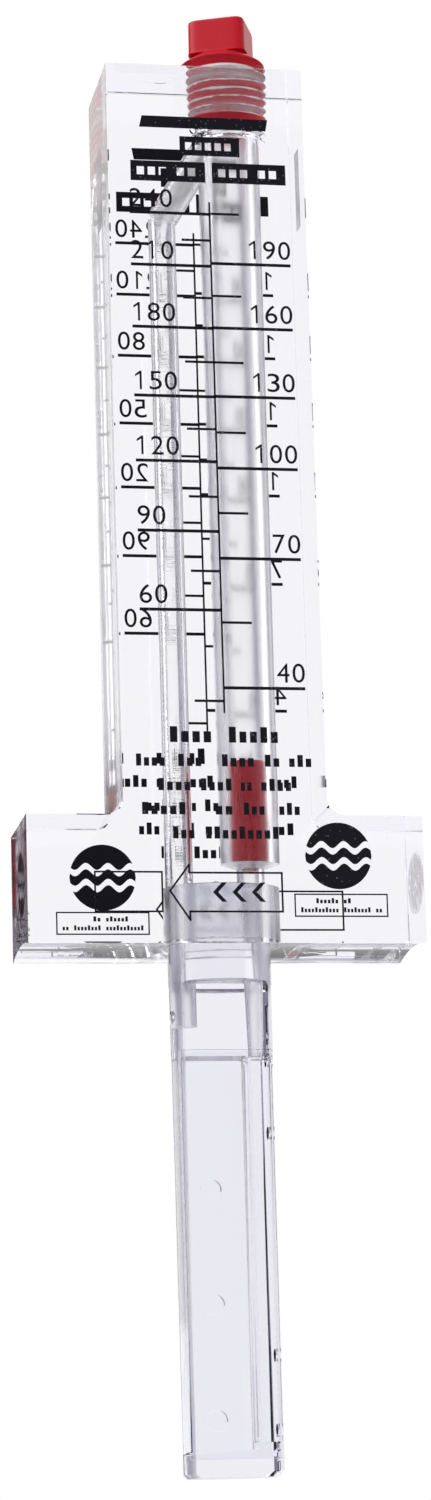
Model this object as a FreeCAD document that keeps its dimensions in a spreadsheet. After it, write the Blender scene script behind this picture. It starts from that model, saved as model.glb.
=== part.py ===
"""Insertion flow meter: a clear block with a tapered sight bore, a red float and a pitot stem.

The block sits on top of a pipe that runs along X.  The stem hangs down into the pipe, and four
small holes on its +X edge face the stream.  Their pressure rises through the stem, lifts the float
up the tapered bore, crosses over near the top and comes back down the return bore to the static
port on the -X edge.

Frame: +Z up, X along the pipe, origin on the stem's axis at the top of the pipe.  Millimetres.
"""
import FreeCAD, Part
import Sketcher
import os

# Each size is written once here: alias, value, what it is.
SIZES = [
    ("body_width", 31.75, "tower of the block, along X"),
    ("body_depth", 19.5, "block, front to back"),
    ("body_top", 141.1, "top face above the pipe"),
    ("ear_span", 61.6, "overall width across the two ears"),
    ("ear_top", 18.9, "strap land on the ears, above the pipe"),
    ("ear_fillet", 2.7, "radius between an ear and the tower"),
    ("pipe_radius", 44.45, "outside of the pipe that the saddle fits"),
    ("saddle_drop", 1.0, "how far the block's lower edges hang below the saddle's crown"),
    ("sight_offset", 4.7, "sight bore and threaded hole, centre along X"),
    ("sight_floor_radius", 4.65, "sight bore at its lower end"),
    ("sight_roof_radius", 5.0, "sight bore where it meets the threaded hole"),
    ("sight_floor", 12.3, "height of the sight bore's lower end"),
    ("seat_drop", 0.85, "height of the conical float seat"),
    ("inlet_radius", 2.2, "hole below the float seat"),
    ("thread_depth", 10.7, "threaded hole below the top face"),
    ("thread_radius", 6.05, "plug's thread at its mean height, in the plane of the top face"),
    ("thread_taper", 0.03125, "radius gained for each mm of height on the tapered thread"),
    ("return_offset", -6.5, "return bore, centre along X"),
    ("return_radius", 2.2, "return bore"),
    ("return_top", 117.0, "where the return bore meets the leaning passage"),
    ("passage_radius", 2.4, "leaning passage from the return bore to the threaded hole"),
    ("passage_lean", 31.0, "degrees between that passage and the vertical"),
    ("dimple_offset", -0.8, "drill dimple over the hub, centre along X"),
    ("dimple_radius", 2.3, "drill dimple"),
    ("dimple_height", 1.3, "drill dimple, from the counterbore to its tip"),
    ("dimple_wall", 0.5, "straight part of the dimple"),
    ("hub_radius", 9.05, "stem's hub in the counterbore"),
    ("hub_height", 8.4, "stem's hub"),
    ("hub_chamfer", 0.4, "hub's upper edge"),
    ("bond_gap", 0.04, "cement film round the hub and the stem's cover"),
    ("neck_radius", 7.95, "round neck that passes through the pipe wall"),
    ("neck_length", 6.1, "round neck below the hub"),
    ("shoulder_radius", 7.88, "stem just below the neck"),
    ("shoulder_draft", 0.04, "how much the shoulder narrows down to the cover, to leave its mould"),
    ("blade_radius", 7.78, "stem's round edges below the shoulder"),
    ("tip_radius", 7.6, "stem's round edges at its lower end"),
    ("flat_distance", 4.1, "from the stem's axis to each of its flats"),
    ("flat_fillet", 0.8, "between the neck and the flats"),
    ("stem_length", 80.6, "from the top of the pipe to the stem's tip"),
    ("tip_chamfer", 1.0, "tip's upstream corner"),
    ("tip_fillet", 0.6, "tip's downstream corner"),
    ("cover_top", 16.5, "upper edge of the stem's cover, below the top of the pipe"),
    ("cover_length", 61.4, "stem's cover"),
    ("cover_thickness", 1.3, "stem's cover"),
    ("stem_wall", 1.2, "wall behind the two chambers"),
    ("side_wall", 1.35, "wall beside the hollow chamber"),
    ("chamber_width", 9.8, "hollow chamber along X"),
    ("chamber_length", 59.8, "hollow chamber at its longer, downstream edge"),
    ("chamber_slant", 0.7, "rise of the chamber's lower edge across its width"),
    ("chamber_margin", 0.9, "from the cover's upper edge to the chambers"),
    ("rib_width", 0.5, "rib between the hollow chamber and the pressure channel"),
    ("channel_width", 2.8, "pressure channel along X"),
    ("channel_length", 58.1, "pressure channel"),
    ("duct_offset", 5.0, "duct from the pressure channel to the float seat, centre along X"),
    ("duct_top_radius", 1.9, "duct at the hub's upper face"),
    ("duct_end_radius", 1.15, "duct where it meets the pressure channel"),
    ("static_offset", -5.4, "static passage, centre along X"),
    ("static_radius", 1.4, "static passage"),
    ("static_depth", 12.7, "end of the static passage below the top of the pipe"),
    ("port_radius", 1.0, "impact holes and static port"),
    ("static_port_depth", 11.0, "static port below the top of the pipe"),
    ("port_centre", 45.75, "middle of the four impact holes, below the top of the pipe"),
    ("inner_port_step", 16.8, "from that middle to the inner impact holes"),
    ("outer_port_step", 27.95, "from that middle to the outer impact holes"),
    ("ejector_radius", 1.65, "moulding pin marks on the chamber's floor"),
    ("ejector_depth", 0.12, "moulding pin marks"),
    ("ejector_offset", -1.6, "moulding pin marks, centre along X"),
    ("ejector_first", 37.2, "first moulding pin mark below the top of the pipe"),
    ("ejector_step", 17.4, "from one moulding pin mark to the next"),
    ("float_clearance", 0.25, "between the float and the lower end of the sight bore"),
    ("float_length", 16.5, "float"),
    ("float_nose_rise", 1.5, "height of the cone at the float's lower end"),
    ("float_nose_inset", 0.9, "how much narrower the float's lower end is"),
    ("float_edge", 0.3, "chamfer on the float's upper edge"),
    ("float_lift", 0.02, "between the float's lower edge and its seat"),
    ("plug_reach", 8.1, "plug below the top face"),
    ("plug_neck", 2.1, "thread that shows above the top face"),
    ("plug_rim_radius", 6.75, "plug's flared rim"),
    ("plug_rim_height", 3.4, "rim above the top face"),
    ("plug_cone_rise", 1.55, "cone from the rim up to the square head"),
    ("plug_cone_radius", 5.2, "that cone at the head"),
    ("plug_core_radius", 3.0, "moulded hollow in the plug's lower end"),
    ("plug_core_depth", 11.0, "moulded hollow in the plug's lower end"),
    ("head_across", 9.3, "square head across its flats"),
    ("head_top", 10.9, "top of the head above the top face"),
    ("head_corner", 1.2, "head's upright corners"),
    ("head_edge", 0.5, "head's upper edge"),
    ("head_turn", -22.0, "degrees the head is turned about its axis"),
    ("tape_clearance", 0.04, "between the plug's thread and the tape, and the tape and the hole"),
    ("tape_thickness", 0.15, "layers of thread tape"),
    ("tape_reach", 6.6, "tape below the top face"),
    ("tape_rise", 1.9, "tape above the top face"),
]

OVERSHOOT = 1.0         # how far a cutting profile runs past the face that it opens
MATCH = 1e-4            # how closely an edge has to lie at a place to be picked there
EJECTOR_MARKS = 3       # moulding pin marks down the chamber

# Room round the plug's thread for the tape and the clearance on both its sides.
TAPE_SPACE = "2 * sizes.tape_clearance + sizes.tape_thickness"

doc = FreeCAD.newDocument("flow_meter")
sheet = doc.addObject("Spreadsheet::Sheet", "sizes")
for row, (alias, value, meaning) in enumerate(SIZES, start=1):
    sheet.set(f"A{row}", meaning)
    sheet.set(f"B{row}", str(value))
    sheet.setAlias(f"B{row}", alias)
doc.recompute()


def value_of(expression):
    """The number that an expression in the sheet's sizes comes to."""
    result = sheet.evalExpression(expression.replace("sizes.", ""))
    return float(getattr(result, "Value", result))


def new_body(label):
    """Start a sub-part: a body whose label is its file's name."""
    body = doc.addObject("PartDesign::Body", label)
    body.Label = label
    return body


def new_sketch(body, name, role, offset=None, turn=None):
    """A sketch on one of the body's origin planes, moved and turned in that plane's own axes."""
    plane = next(item for item in body.Origin.OriginFeatures if item.Role == role)
    sketch = body.newObject("Sketcher::SketchObject", name)
    sketch.AttachmentSupport = (plane, [""])
    sketch.MapMode = "FlatFace"
    if turn:
        upright = FreeCAD.Rotation(FreeCAD.Vector(0, 0, 1), value_of(turn))
        sketch.AttachmentOffset = FreeCAD.Placement(FreeCAD.Vector(), upright)
        sketch.setExpression("AttachmentOffset.Rotation.Angle", turn)
    for axis, expression in zip("xyz", offset or ()):
        sketch.setExpression(f"AttachmentOffset.Base.{axis}", expression)
    return sketch


def hold(sketch, kind, geometry, point, expression):
    """Tie one coordinate of a point, or a circle's radius, to an expression."""
    if point:
        constraint = Sketcher.Constraint(kind, -1, 1, geometry, point, value_of(expression))
    else:
        constraint = Sketcher.Constraint(kind, geometry, value_of(expression))
    index = sketch.addConstraint(constraint)
    sketch.setExpression(f"Constraints[{index}]", expression)


def draw_outline(sketch, corners):
    """A closed run of straight lines through corners given as pairs of expressions."""
    points = [FreeCAD.Vector(value_of(across), value_of(up), 0) for across, up in corners]
    count = len(points)
    first = sketch.GeometryCount
    for i in range(count):
        sketch.addGeometry(Part.LineSegment(points[i], points[(i + 1) % count]), False)
    for i in range(count):
        follower = first + (i + 1) % count
        sketch.addConstraint(Sketcher.Constraint("Coincident", first + i, 2, follower, 1))
        hold(sketch, "DistanceX", first + i, 1, corners[i][0])
        hold(sketch, "DistanceY", first + i, 1, corners[i][1])


def draw_circle(sketch, across, up, radius):
    """A circle whose centre and radius are expressions."""
    centre = FreeCAD.Vector(value_of(across), value_of(up), 0)
    upright = FreeCAD.Vector(0, 0, 1)
    circle = sketch.addGeometry(Part.Circle(centre, upright, value_of(radius)), False)
    hold(sketch, "DistanceX", circle, 3, across)
    hold(sketch, "DistanceY", circle, 3, up)
    hold(sketch, "Radius", circle, None, radius)


def pad(body, name, sketch, length, both_ways=False):
    """Raise a sketch by a length, or by half of it each way."""
    feature = body.newObject("PartDesign::Pad", name)
    feature.Profile = sketch
    feature.setExpression("Length", length)
    feature.Midplane = both_ways
    doc.recompute()
    return feature


def spin(body, name, sketch, cuts=True):
    """Turn a sketch right round its own upright axis, to cut or to add."""
    before = body.Shape.Volume if cuts else 0.0
    feature = body.newObject("PartDesign::Groove" if cuts else "PartDesign::Revolution", name)
    feature.Profile = sketch
    feature.ReferenceAxis = (sketch, ["V_Axis"])
    feature.Angle = 360
    return changed(body, feature, before, cuts)


def pocket(body, name, sketch, depth=None, both_ways=False, reverse=False):
    """Cut a sketch away, to a depth or right through, one way or both."""
    before = body.Shape.Volume
    feature = body.newObject("PartDesign::Pocket", name)
    feature.Profile = sketch
    feature.Midplane = both_ways
    feature.Reversed = reverse
    if depth:
        feature.setExpression("Length", depth)
    else:
        feature.Type = "ThroughAll"
    return changed(body, feature, before, True)


def changed(body, feature, before, cuts):
    """Make sure that a feature took material away, or added some."""
    doc.recompute()
    after = body.Shape.Volume
    if after == before or (after < before) != cuts:
        raise RuntimeError(f"{feature.Label} changed the volume from {before} to {after}")
    return feature


def dress(body, name, kind, size, wanted):
    """Fillet or chamfer those edges of the body that the function wanted picks."""
    base = body.Tip
    picked = [
        f"Edge{number}"
        for number, edge in enumerate(base.Shape.Edges, start=1)
        if wanted(edge)
    ]
    if not picked:
        raise RuntimeError(f"{name} found no edge")
    feature = body.newObject(f"PartDesign::{kind}", name)
    feature.Base = (base, picked)
    feature.setExpression("Radius" if kind == "Fillet" else "Size", size)
    doc.recompute()
    return feature


def near(edge, x=None, y=None, z=None):
    """Whether both ends and the middle of an edge lie at the given coordinates."""
    middle = edge.valueAt((edge.FirstParameter + edge.LastParameter) / 2)
    points = [vertex.Point for vertex in edge.Vertexes] + [middle]
    wanted = ((0, x), (1, y), (2, z))
    return all(
        abs(abs(point[axis]) - abs(value)) < MATCH
        for point in points
        for axis, value in wanted
        if value is not None
    )


def is_round(edge):
    """Whether an edge is an arc or a circle."""
    return isinstance(edge.Curve, Part.Circle)


def is_upright(edge):
    """Whether an edge is a straight line along Z."""
    ends = [vertex.Point for vertex in edge.Vertexes]
    return len(ends) == 2 and not is_round(edge) and abs(ends[0].z - ends[1].z) > edge.Length - MATCH


def near_top(edge, height):
    """Whether an edge reaches up to a height."""
    return any(abs(vertex.Z - height) < MATCH for vertex in edge.Vertexes)


def make_meter_body():
    """The clear block: a T-shaped slab with a saddle below and its bores, drilled from each end."""
    body = new_body("meter_body")

    face = new_sketch(body, "block_face", "XZ_Plane")
    half_tower = "sizes.body_width / 2"
    half_span = "sizes.ear_span / 2"
    foot = "-sizes.saddle_drop"
    draw_outline(face, [
        (f"-{half_span}", foot), (half_span, foot), (half_span, "sizes.ear_top"),
        (half_tower, "sizes.ear_top"), (half_tower, "sizes.body_top"),
        (f"-{half_tower}", "sizes.body_top"), (f"-{half_tower}", "sizes.ear_top"),
        (f"-{half_span}", "sizes.ear_top"),
    ])
    pad(body, "block", face, "sizes.body_depth", both_ways=True)

    tower_side = value_of(half_tower)
    ear_top = value_of("sizes.ear_top")
    dress(body, "ear_roots", "Fillet", "sizes.ear_fillet",
          lambda edge: near(edge, x=tower_side, z=ear_top))

    pipe = new_sketch(body, "pipe_section", "YZ_Plane")
    draw_circle(pipe, "0", "-sizes.pipe_radius", "sizes.pipe_radius")
    pocket(body, "saddle", pipe, both_ways=True)

    counterbore = new_sketch(body, "hub_socket_profile", "XZ_Plane")
    socket_top = "sizes.hub_height + sizes.bond_gap"
    socket_radius = "sizes.hub_radius + sizes.bond_gap"
    below = f"-sizes.saddle_drop - {OVERSHOOT}"
    draw_outline(counterbore, [
        ("0", below), (socket_radius, below), (socket_radius, socket_top), ("0", socket_top),
    ])
    spin(body, "hub_socket", counterbore)

    dimple = new_sketch(body, "dimple_profile", "XZ_Plane", offset=("sizes.dimple_offset",))
    inside_socket = f"{socket_top} - {OVERSHOOT}"
    draw_outline(dimple, [
        ("0", inside_socket), ("sizes.dimple_radius", inside_socket),
        ("sizes.dimple_radius", f"{socket_top} + sizes.dimple_wall"),
        ("0", f"{socket_top} + sizes.dimple_height"),
    ])
    spin(body, "dimple", dimple)

    sight = new_sketch(body, "sight_profile", "XZ_Plane", offset=("sizes.sight_offset",))
    thread_floor = "sizes.body_top - sizes.thread_depth"
    mouth = f"sizes.thread_radius + {TAPE_SPACE}"
    mouth_end = f"{mouth} - sizes.thread_taper * sizes.thread_depth"
    draw_outline(sight, [
        ("0", inside_socket), ("sizes.inlet_radius", inside_socket),
        ("sizes.inlet_radius", "sizes.sight_floor - sizes.seat_drop"),
        ("sizes.sight_floor_radius", "sizes.sight_floor"),
        ("sizes.sight_roof_radius", thread_floor),
        (mouth_end, thread_floor), (mouth, "sizes.body_top"),
        (mouth, f"sizes.body_top + {OVERSHOOT}"), ("0", f"sizes.body_top + {OVERSHOOT}"),
    ])
    spin(body, "sight_bore", sight)

    way_back = new_sketch(body, "return_profile", "XZ_Plane", offset=("sizes.return_offset",))
    draw_outline(way_back, [
        ("0", inside_socket), ("sizes.return_radius", inside_socket),
        ("sizes.return_radius", "sizes.return_top"), ("0", "sizes.return_top"),
    ])
    spin(body, "return_bore", way_back)

    passage = new_sketch(body, "passage_profile", "XZ_Plane",
                         offset=("sizes.return_offset", "sizes.return_top"),
                         turn="-sizes.passage_lean")
    reach = f"({thread_floor} - sizes.return_top) / cos(sizes.passage_lean)"
    draw_outline(passage, [
        ("0", "0"), ("sizes.passage_radius", "0"), ("sizes.passage_radius", reach), ("0", reach),
    ])
    spin(body, "leaning_passage", passage)
    return body


def make_pitot_stem():
    """The stem: hub, neck and a blade with two flats, hollowed from the front for its cover."""
    body = new_body("pitot_stem")

    outline = new_sketch(body, "stem_profile", "XZ_Plane")
    draw_outline(outline, [
        ("0", "-sizes.stem_length"), ("sizes.tip_radius", "-sizes.stem_length"),
        ("sizes.blade_radius", "-sizes.cover_top"),
        ("sizes.shoulder_radius - sizes.shoulder_draft", "-sizes.cover_top"),
        ("sizes.shoulder_radius", "-sizes.neck_length"), ("sizes.neck_radius", "-sizes.neck_length"),
        ("sizes.neck_radius", "0"), ("sizes.hub_radius", "0"),
        ("sizes.hub_radius", "sizes.hub_height - sizes.hub_chamfer"),
        ("sizes.hub_radius - sizes.hub_chamfer", "sizes.hub_height"), ("0", "sizes.hub_height"),
    ])
    spin(body, "stem_round", outline, cuts=False)

    flats = new_sketch(body, "flats_section", "YZ_Plane")
    clear = f"sizes.hub_radius + {OVERSHOOT}"
    under = f"-sizes.stem_length - {OVERSHOOT}"
    for side in ("", "-"):
        near_side = f"{side}sizes.flat_distance"
        far_side = f"{side}({clear})"
        draw_outline(flats, [
            (near_side, "-sizes.neck_length"), (far_side, "-sizes.neck_length"),
            (far_side, under), (near_side, under),
        ])
    pocket(body, "flats", flats, both_ways=True)

    flat = value_of("sizes.flat_distance")
    neck_end = value_of("-sizes.neck_length")
    dress(body, "flat_roots", "Fillet", "sizes.flat_fillet",
          lambda edge: near(edge, y=flat, z=neck_end))

    tip = value_of("-sizes.stem_length")
    dress(body, "upstream_corner", "Chamfer", "sizes.tip_chamfer",
          lambda edge: near(edge, z=tip) and is_round(edge) and edge.CenterOfMass.x > 0)
    dress(body, "downstream_corner", "Fillet", "sizes.tip_fillet",
          lambda edge: near(edge, z=tip) and is_round(edge) and edge.CenterOfMass.x < 0)

    front = ("0", "0", "sizes.flat_distance")
    seat = new_sketch(body, "cover_seat_face", "XZ_Plane", offset=front)
    seat_end = "-sizes.cover_top - sizes.cover_length"
    draw_outline(seat, [
        (f"-({clear})", seat_end), (clear, seat_end),
        (clear, "-sizes.cover_top"), (f"-({clear})", "-sizes.cover_top"),
    ])
    pocket(body, "cover_seat", seat, depth="sizes.cover_thickness")

    hollows = new_sketch(body, "hollows_face", "XZ_Plane", offset=front)
    ceiling = "-sizes.cover_top - sizes.chamber_margin"
    chamber_left = "-sizes.blade_radius + sizes.side_wall"
    chamber_right = f"{chamber_left} + sizes.chamber_width"
    chamber_floor = f"{ceiling} - sizes.chamber_length"
    channel_left = f"{chamber_right} + sizes.rib_width"
    channel_right = f"{channel_left} + sizes.channel_width"
    channel_floor = f"{ceiling} - sizes.channel_length"
    draw_outline(hollows, [
        (chamber_left, chamber_floor), (chamber_right, f"{chamber_floor} + sizes.chamber_slant"),
        (chamber_right, ceiling), (chamber_left, ceiling),
    ])
    draw_outline(hollows, [
        (channel_left, channel_floor), (channel_right, channel_floor),
        (channel_right, ceiling), (channel_left, ceiling),
    ])
    pocket(body, "hollows", hollows, depth="2 * sizes.flat_distance - sizes.stem_wall")

    channel_middle = f"{channel_left} + sizes.channel_width / 2"
    duct = new_sketch(body, "duct_profile", "XZ_Plane", offset=("sizes.duct_offset",))
    draw_outline(duct, [
        ("0", f"{ceiling} - {OVERSHOOT}"), ("sizes.duct_end_radius", f"{ceiling} - {OVERSHOOT}"),
        ("sizes.duct_top_radius", "sizes.hub_height"),
        ("sizes.duct_top_radius", f"sizes.hub_height + {OVERSHOOT}"),
        ("0", f"sizes.hub_height + {OVERSHOOT}"),
    ])
    spin(body, "duct", duct)

    static = new_sketch(body, "static_profile", "XZ_Plane", offset=("sizes.static_offset",))
    draw_outline(static, [
        ("0", "-sizes.static_depth"), ("sizes.static_radius", "-sizes.static_depth"),
        ("sizes.static_radius", f"sizes.hub_height + {OVERSHOOT}"),
        ("0", f"sizes.hub_height + {OVERSHOOT}"),
    ])
    spin(body, "static_passage", static)

    port = new_sketch(body, "static_port_section", "YZ_Plane", offset=("0", "0", "sizes.static_offset"))
    draw_circle(port, "0", "-sizes.static_port_depth", "sizes.port_radius")
    pocket(body, "static_port", port)

    impact = new_sketch(body, "impact_section", "YZ_Plane", offset=("0", "0", channel_middle))
    for step in ("outer_port_step", "inner_port_step"):
        for sign in "+-":
            height = f"-sizes.port_centre {sign} sizes.{step}"
            draw_circle(impact, "0", height, "sizes.port_radius")
    pocket(body, "impact_holes", impact, reverse=True)

    floor = ("0", "0", "sizes.stem_wall - sizes.flat_distance")
    marks = new_sketch(body, "pin_marks_face", "XZ_Plane", offset=floor)
    for mark in range(EJECTOR_MARKS):
        height = f"-sizes.ejector_first - {mark} * sizes.ejector_step"
        draw_circle(marks, "sizes.ejector_offset", height, "sizes.ejector_radius")
    pocket(body, "pin_marks", marks, depth="sizes.ejector_depth")
    return body


def make_stem_cover():
    """The cover: a strip of the blade's own tapered section, cemented into its seat."""
    rounds = doc.addObject("Part::Cone", "cover_rounds")
    rounds.setExpression("Radius1", "sizes.tip_radius")
    rounds.setExpression("Radius2", "sizes.blade_radius")
    rounds.setExpression("Height", "sizes.stem_length - sizes.cover_top")
    rounds.setExpression("Placement.Base.z", "-sizes.stem_length")

    strip = doc.addObject("Part::Box", "cover_strip")
    strip.setExpression("Length", "2 * sizes.neck_radius")
    strip.setExpression("Width", "sizes.cover_thickness - sizes.bond_gap")
    strip.setExpression("Height", "sizes.cover_length - 2 * sizes.bond_gap")
    strip.setExpression("Placement.Base.x", "-sizes.neck_radius")
    strip.setExpression("Placement.Base.y", "-sizes.flat_distance")
    strip.setExpression("Placement.Base.z", "-sizes.cover_top - sizes.cover_length + sizes.bond_gap")

    cover = doc.addObject("Part::Common", "stem_cover")
    cover.Base = rounds
    cover.Tool = strip
    return cover


def make_float():
    """The solid float, which rests its narrower lower end on the conical seat."""
    body = new_body("float")
    radius = "sizes.sight_floor_radius - sizes.float_clearance"
    nose = f"{radius} - sizes.float_nose_inset"
    seat_slope = "sizes.seat_drop / (sizes.sight_floor_radius - sizes.inlet_radius)"
    bottom = (
        "sizes.sight_floor + sizes.float_lift"
        f" - (sizes.sight_floor_radius - ({nose})) * {seat_slope}"
    )
    profile = new_sketch(body, "float_profile", "XZ_Plane", offset=("sizes.sight_offset", bottom))
    draw_outline(profile, [
        ("0", "0"), (nose, "0"), (radius, "sizes.float_nose_rise"),
        (radius, "sizes.float_length - sizes.float_edge"),
        (f"{radius} - sizes.float_edge", "sizes.float_length"), ("0", "sizes.float_length"),
    ])
    spin(body, "float_round", profile, cuts=False)
    return body


def make_top_plug():
    """The moulded pipe plug: tapered thread, flared rim, square head and a hollow from below."""
    body = new_body("top_plug")
    centre = ("sizes.sight_offset", "sizes.body_top")
    low_radius = "sizes.thread_radius - sizes.thread_taper * sizes.plug_reach"
    high_radius = "sizes.thread_radius + sizes.thread_taper * sizes.plug_neck"
    head_base = "sizes.plug_rim_height + sizes.plug_cone_rise"
    profile = new_sketch(body, "plug_profile", "XZ_Plane", offset=centre)
    draw_outline(profile, [
        ("0", "-sizes.plug_reach"), (low_radius, "-sizes.plug_reach"),
        (high_radius, "sizes.plug_neck"), ("sizes.plug_rim_radius", "sizes.plug_rim_height"),
        ("sizes.plug_cone_radius", head_base), ("0", head_base),
    ])
    spin(body, "plug_round", profile, cuts=False)

    square = new_sketch(body, "head_section", "XY_Plane",
                        offset=("sizes.sight_offset", "0", f"sizes.body_top + {head_base}"),
                        turn="sizes.head_turn")
    half = "sizes.head_across / 2"
    draw_outline(square, [(f"-{half}", f"-{half}"), (half, f"-{half}"), (half, half), (f"-{half}", half)])
    pad(body, "head", square, f"sizes.head_top - ({head_base})")

    top = value_of("sizes.body_top + sizes.head_top")
    dress(body, "head_corners", "Fillet", "sizes.head_corner",
          lambda edge: is_upright(edge) and near_top(edge, top))
    dress(body, "head_rim", "Fillet", "sizes.head_edge", lambda edge: near(edge, z=top))

    core = new_sketch(body, "core_profile", "XZ_Plane", offset=centre)
    core_top = "sizes.plug_core_depth - sizes.plug_reach"
    under = f"-sizes.plug_reach - {OVERSHOOT}"
    draw_outline(core, [
        ("0", under), ("sizes.plug_core_radius", under),
        ("sizes.plug_core_radius", core_top), ("0", core_top),
    ])
    spin(body, "core", core)
    return body


def make_thread_tape():
    """The wound tape: a thin tapered sleeve between the plug's thread and the threaded hole."""
    length = "(sizes.tape_rise + sizes.tape_reach)"
    inner = "(sizes.thread_radius + sizes.tape_clearance)"
    layers = {}
    for name, radius in (("inside", inner), ("outside", f"({inner} + sizes.tape_thickness)")):
        layer = doc.addObject("Part::Cone", f"tape_{name}")
        layer.setExpression("Radius1", f"{radius} - sizes.thread_taper * sizes.tape_reach")
        layer.setExpression("Radius2", f"{radius} + sizes.thread_taper * sizes.tape_rise")
        layer.setExpression("Height", length)
        layer.setExpression("Placement.Base.x", "sizes.sight_offset")
        layer.setExpression("Placement.Base.z", "sizes.body_top - sizes.tape_reach")
        layers[name] = layer
    tape = doc.addObject("Part::Cut", "thread_tape")
    tape.Base = layers["outside"]
    tape.Tool = layers["inside"]
    return tape


def check_model(parts):
    """Stop if any object failed, or any sub-part isn't one sound solid."""
    doc.recompute()
    for item in doc.Objects:
        if {"Invalid", "Error"} & set(item.State):
            raise RuntimeError(f"{item.Label} failed: {item.State}")
    for part in parts:
        shape = part.Shape
        if shape.isNull() or not shape.isValid() or len(shape.Solids) != 1:
            raise RuntimeError(f"{part.Label} is not one sound solid")


parts = [
    make_meter_body(), make_pitot_stem(), make_stem_cover(),
    make_float(), make_top_plug(), make_thread_tape(),
]
check_model(parts)
os.makedirs("parts", exist_ok=True)
for part in parts:
    part.Shape.exportStep(f"parts/{part.Label}.step")
    box = part.Shape.BoundBox
    print(f"{part.Label:12s} {part.Shape.Volume:10.1f} mm3  z {box.ZMin:8.2f} to {box.ZMax:8.2f}")
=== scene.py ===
"""Dresses a clear insertion flow meter: polished block with its scale, stem, float, plug and tape.

Lengths in the tables below are in millimetres, in the frame of the CAD model. Each mesh function
turns them into metres, the unit of every Blender object here.
"""

import math

import bmesh
import bpy
import numpy as np
from mathutils import Matrix


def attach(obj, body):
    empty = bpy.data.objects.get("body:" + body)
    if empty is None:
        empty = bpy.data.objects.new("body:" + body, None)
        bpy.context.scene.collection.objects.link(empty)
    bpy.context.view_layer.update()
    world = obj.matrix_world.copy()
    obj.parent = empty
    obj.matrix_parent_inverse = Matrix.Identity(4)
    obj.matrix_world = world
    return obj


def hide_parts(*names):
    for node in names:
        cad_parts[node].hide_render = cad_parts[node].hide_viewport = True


bl_info = {
    "name": "Clear flow meter",
    "version": (1, 0, 0),
    "blender": (4, 5, 0),
    "location": "View3D > Sidebar > Flow meter",
    "description": "Builds the looks of a clear insertion flow meter over its CAD frame",
    "category": "Add Mesh",
}

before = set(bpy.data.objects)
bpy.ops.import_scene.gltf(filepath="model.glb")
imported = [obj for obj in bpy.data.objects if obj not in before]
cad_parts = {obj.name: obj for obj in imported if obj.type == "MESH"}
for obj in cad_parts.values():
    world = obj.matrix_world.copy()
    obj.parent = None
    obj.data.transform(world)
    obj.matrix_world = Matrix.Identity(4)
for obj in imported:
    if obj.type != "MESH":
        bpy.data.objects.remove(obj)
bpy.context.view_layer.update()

MM = 0.001
AROUND = 112            # points round a turned surface
SMOOTH_ANGLE = math.radians(31)
PITCH = 1.411           # pipe thread, 18 turns to the inch
TAPER = 0.03125         # radius gained for each mm of height on that thread
THREAD_DEPTH = 0.6      # from its roots to its crests, on the radius
SIGHT_X = 4.7           # axis of the sight bore, float and plug
RETURN_X = -6.5         # axis of the return bore
RETURN_TOP = 117.0      # where the return bore meets the leaning passage
DUCT_X = 5.0            # axis of the duct in the stem
STATIC_X = -5.4         # axis of the static passage in the stem
PIPE_RADIUS = 44.45     # outside of the pipe that the saddle fits
HALF_TOWER = 15.875     # half the block's width
HALF_SPAN = 30.8        # half the width over both ears
EAR_TOP = 18.9
EAR_ROOT = 2.7          # radius between an ear and the tower
BLOCK_TOP = 141.1
FACE = 9.73             # front and back faces; the print brings them out to the CAD size
PRINT_FACE = 9.75
COVER_LOW, COVER_HIGH = -77.9, -16.5
CEMENT = 0.04           # gap round the cover
TAPE_LOW, TAPE_HIGH = 134.5, 143.4
BADGE_RADIUS = 5.2
DIGIT_WIDTH, DIGIT_HEIGHT, DIGIT_STEP = 1.95, 3.05, 2.42
CLEAR_INDEX = 1.49      # refraction of acrylic
BELOW = -1000.0         # a lower limit that no distance reaches
EYE = (-101.67, -562.34, -94.87)
FOCAL_PIXELS, PICTURE_PIXELS = 3746.4, 1500     # focal length and the photograph's longer side
FLOOR_RADIUS, FLOOR_LEVEL = 6000.0, -170.0


# ---------------------------------------------------------------- surfaces


def merged(mesh, reach=1e-7):
    """Welds double points and turns all faces of a closed mesh outwards."""
    work = bmesh.new()
    work.from_mesh(mesh)
    bmesh.ops.remove_doubles(work, verts=work.verts, dist=reach)
    bmesh.ops.recalc_face_normals(work, faces=work.faces)
    work.to_mesh(mesh)
    work.free()


def new_object(name, points, faces, smooth=True):
    """A mesh object at the origin from points in mm and lists of corner numbers."""
    mesh = bpy.data.meshes.new(name)
    mesh.from_pydata((np.asarray(points, float) * MM).tolist(), [], faces)
    merged(mesh)
    thing = bpy.data.objects.new(name, mesh)
    bpy.context.scene.collection.objects.link(thing)
    if smooth:
        soften(thing)
    return thing


def soften(thing):
    """Smooth shading that stops at edges sharper than SMOOTH_ANGLE."""
    thing.data.shade_smooth()
    thing.data.set_sharp_from_angle(angle=SMOOTH_ANGLE)


def stacked(rings):
    """Closed skin over rings of points, shape (rows, around, 3): quads between, a face on each end."""
    rings = np.asarray(rings, float)
    rows, around = rings.shape[:2]
    number = np.arange(rows * around).reshape(rows, around)
    following = np.roll(number, -1, axis=1)
    quads = np.stack([number[:-1], following[:-1], following[1:], number[1:]], axis=-1).reshape(-1, 4)
    faces = quads.tolist() + [number[0, ::-1].tolist(), number[-1].tolist()]
    return rings.reshape(-1, 3), faces


def joined(skins):
    """Several skins as one list of points and one list of faces."""
    points, faces, count = [], [], 0
    for some, corners in skins:
        points.append(some)
        faces += [[n + count for n in face] for face in corners]
        count += len(some)
    return np.concatenate(points), faces


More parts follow.
